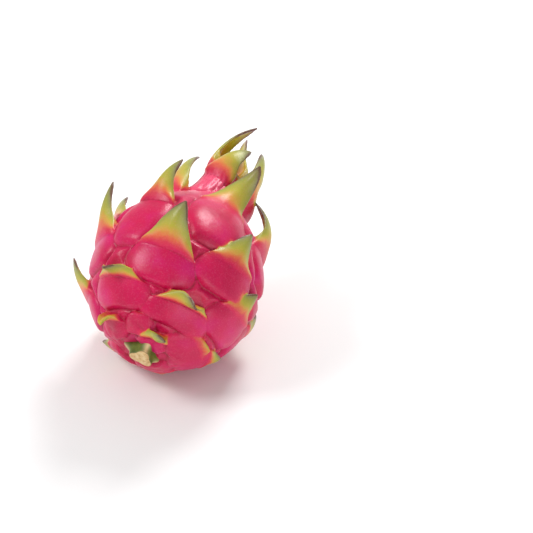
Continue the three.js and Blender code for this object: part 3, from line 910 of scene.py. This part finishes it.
def pore_group():
    """Pores and soft lumps that every skin, rind and dry surface shares, as one height and one fine mask."""
    group = bpy.data.node_groups.new("pores", "ShaderNodeTree")
    group.interface.new_socket("Scale", in_out="INPUT", socket_type="NodeSocketFloat")
    group.interface.new_socket("Lumps", in_out="INPUT", socket_type="NodeSocketFloat")
    group.interface.new_socket("Height", in_out="OUTPUT", socket_type="NodeSocketFloat")
    group.interface.new_socket("Fine", in_out="OUTPUT", socket_type="NodeSocketFloat")
    nodes, links = group.nodes, group.links
    given, given_back = nodes.new("NodeGroupInput"), nodes.new("NodeGroupOutput")
    fine = noise(nodes, links, scale=given.outputs["Scale"], detail=3)
    coarse_scale = maths(nodes, links, "MULTIPLY", given.outputs["Scale"], COARSE_PORES)
    coarse = noise(nodes, links, scale=coarse_scale, detail=3)
    lumps = maths(nodes, links, "MULTIPLY", coarse, given.outputs["Lumps"])
    links.new(maths(nodes, links, "ADD", fine, lumps), given_back.inputs["Height"])
    links.new(fine, given_back.inputs["Fine"])
    return group


def pores(nodes, links, shader, scale, lumps, strength, distance):
    """Places the pores in a material, as bump in millimetres, and gives back their fine mask."""
    group = nodes.new("ShaderNodeGroup")
    group.node_tree = PORES
    group.inputs["Scale"].default_value = scale
    group.inputs["Lumps"].default_value = lumps
    bump = nodes.new("ShaderNodeBump")
    bump.inputs["Strength"].default_value = strength
    bump.inputs["Distance"].default_value = distance * MM
    links.new(group.outputs["Height"], bump.inputs["Height"])
    links.new(bump.outputs["Normal"], shader.inputs["Normal"])
    return group.outputs["Fine"]


# Materials

def skin_material():
    """Magenta skin whose flags ripen from coral through yellow-green to brown tips."""
    material, nodes, links = new_material("fruit_skin")
    shader = nodes["Principled BSDF"]
    broad = noise(nodes, links, scale=45, detail=3)
    fine = pores(nodes, links, shader, scale=1400, lumps=1.5, strength=0.18, distance=0.6)

    # The body: pinker and paler on the neck, with painted shade darkening its creases.
    pink = ramp(nodes, links, broad, BODY_PINKS)
    pink = mix_color(nodes, links, attribute(nodes, "neck"), pink, NECK_PINK)
    # Painted shade: the creases are darkened toward a deeper pink, less so on the neck.
    less_shade = maths(nodes, links, "MULTIPLY", attribute(nodes, "neck"), LESS_SHADE_ON_NECK)
    strength = maths(nodes, links, "SUBTRACT", CREASE_SHADE_STRENGTH, less_shade)
    crease_shade = maths(nodes, links, "MULTIPLY", attribute(nodes, "crease_shade"), strength, clamp=True)
    pink = mix_color(nodes, links, crease_shade, pink, CREASE_SHADE_PINK)

    # The flags: unevenly ripe, with one ramp for the outer face and one for the inner.
    uneven = maths(nodes, links, "SUBTRACT", noise(nodes, links, scale=160, detail=2), 0.5)
    patches = maths(nodes, links, "MULTIPLY", uneven, RIPE_PATCHES)
    ripe = maths(nodes, links, "ADD", attribute(nodes, "ripe"), patches, clamp=True)
    on_flag = maths(nodes, links, "MULTIPLY", ripe, FLAG_SHARPNESS, clamp=True)
    outside = mix_color(nodes, links, on_flag, pink, ramp(nodes, links, ripe, OUTER_FACE))
    inside = ramp(nodes, links, ripe, INNER_FACE)
    color = mix_color(nodes, links, attribute(nodes, "inner"), outside, inside)

    # Pale specks over all of it.
    above = maths(nodes, links, "SUBTRACT", fine, 0.5)
    speck = maths(nodes, links, "MULTIPLY", above, SPECK_STRENGTH, clamp=True)
    links.new(mix_color(nodes, links, speck, color, SPECK_PINK), shader.inputs["Base Color"])
    shader.inputs["Roughness"].default_value = 0.35
    shader.inputs["Specular IOR Level"].default_value = 0.35
    shader.inputs["Subsurface Weight"].default_value = 0.06
    shader.inputs["Subsurface Radius"].default_value = (0.004, 0.0012, 0.0008)
    return material


def stem_material():
    """Green rind with corky rib edges, and a pale fibrous cut face with a brown rim."""
    material, nodes, links = new_material("green_stem")
    shader = nodes["Principled BSDF"]
    green = ramp(nodes, links, noise(nodes, links, scale=200, detail=3), RIND_GREENS)
    crest = maths(nodes, links, "POWER", attribute(nodes, "rib"), CORK_SHARPNESS)
    rind = mix_color(nodes, links, crest, green, CORK)
    pith = ramp(nodes, links, noise(nodes, links, scale=420, detail=5), PITH)
    cut = attribute(nodes, "cut")
    well_inside = maths(nodes, links, "SUBTRACT", cut, PITH_START)
    core = maths(nodes, links, "MULTIPLY", well_inside, PITH_SHARPNESS, clamp=True)
    face = mix_color(nodes, links, core, CUT_BROWN, pith)
    on_face = maths(nodes, links, "MULTIPLY", cut, FACE_SHARPNESS, clamp=True)
    links.new(mix_color(nodes, links, on_face, rind, face), shader.inputs["Base Color"])
    shader.inputs["Roughness"].default_value = 0.5
    pores(nodes, links, shader, scale=900, lumps=0.6, strength=0.35, distance=0.4)
    return material


def flower_material():
    """Maroon dried tissue, mottled, that fades to straw at the torn rim."""
    material, nodes, links = new_material("dried_flower")
    shader = nodes["Principled BSDF"]
    fine = pores(nodes, links, shader, scale=1100, lumps=1.0, strength=0.5, distance=0.5)
    broad = noise(nodes, links, scale=260, detail=5)
    mottled = maths(nodes, links, "ADD", broad, maths(nodes, links, "MULTIPLY", fine, MOTTLES))
    maroon = ramp(nodes, links, mottled, MAROONS)
    rim = ramp(nodes, links, attribute(nodes, "height"), RIM_FADE)
    straw = mix_color(nodes, links, fine, STRAW_DARK, STRAW_LIGHT)
    links.new(mix_color(nodes, links, rim, maroon, straw), shader.inputs["Base Color"])
    shader.inputs["Roughness"].default_value = 0.85
    return material


def floor_material():
    """Pale matt paper."""
    material, nodes, links = new_material("floor")
    shader = nodes["Principled BSDF"]
    shader.inputs["Base Color"].default_value = PAPER
    shader.inputs["Roughness"].default_value = 0.8
    pores(nodes, links, shader, scale=1500, lumps=0.5, strength=0.05, distance=0.1)
    return material


# Stage

def add_floor():
    """The pale floor, far wider than the picture."""
    bpy.ops.object.select_all(action="DESELECT")
    bpy.ops.mesh.primitive_plane_add(size=FLOOR_SIZE)
    floor = bpy.context.object
    floor.name = "floor"
    floor.data.materials.append(floor_material())


def add_light(name, place, size, power):
    """A square soft light that points at the fruit."""
    lamp = bpy.data.lights.new(name, "AREA")
    lamp.energy = power
    lamp.size = size
    piece = bpy.data.objects.new(name, lamp)
    bpy.context.scene.collection.objects.link(piece)
    piece.location = place
    piece.rotation_mode = "QUATERNION"
    piece.rotation_quaternion = (Vector(LIT_POINT) - Vector(place)).to_track_quat("-Z", "Y")


def add_lights():
    """The soft lights, and an even white glow all around."""
    for light in LIGHTS:
        add_light(*light)
    world = bpy.data.worlds.new("studio")
    world.use_nodes = True
    world.node_tree.nodes["Background"].inputs["Color"].default_value = WHITE
    world.node_tree.nodes["Background"].inputs["Strength"].default_value = WORLD_STRENGTH
    bpy.context.scene.world = world
    bpy.context.scene.view_settings.view_transform = "Standard"


def add_camera():
    """The photograph's camera, aimed so that the widest ring lies at its pixel."""
    azimuth, elevation = VIEW_AZIMUTH * DEG, VIEW_ELEVATION * DEG
    right = Vector((math.cos(azimuth), math.sin(azimuth), 0))
    level = Vector((-math.sin(azimuth), math.cos(azimuth), 0))
    forward = level * math.cos(elevation) - Vector((0, 0, math.sin(elevation)))
    up = right.cross(forward)
    half = PHOTO_SIZE / 2
    target = Vector((0, 0, AXIS_HEIGHT * MM))
    target += right * ((half - PHOTO_CENTRE[0]) / PHOTO_SCALE) + up * ((PHOTO_CENTRE[1] - half) / PHOTO_SCALE)
    data = bpy.data.cameras.new("camera")
    data.sensor_width = SENSOR_WIDTH
    data.lens = SENSOR_WIDTH / 2 / (half / PHOTO_SCALE / VIEW_DISTANCE)
    data.clip_start, data.clip_end = NEAREST, FARTHEST
    camera = bpy.data.objects.new("camera", data)
    bpy.context.scene.collection.objects.link(camera)
    camera.location = target - forward * VIEW_DISTANCE
    camera.rotation_mode = "QUATERNION"
    camera.rotation_quaternion = Matrix((right, up, -forward)).transposed().to_quaternion()
    bpy.context.scene.camera = camera


def dress(piece, node, material):
    """Gives a piece its material and puts it in the place of its solid."""
    piece.data.materials.clear()
    piece.data.materials.append(material)
    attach(piece, "root")
    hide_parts(node)


PORES = pore_group()
add_camera()
add_lights()
add_floor()
dress(fruit_piece(), "fruit", skin_material())
dress(stem_piece(), "stem_stub", stem_material())
dress(flower_piece(), "flower_remnant", flower_material())
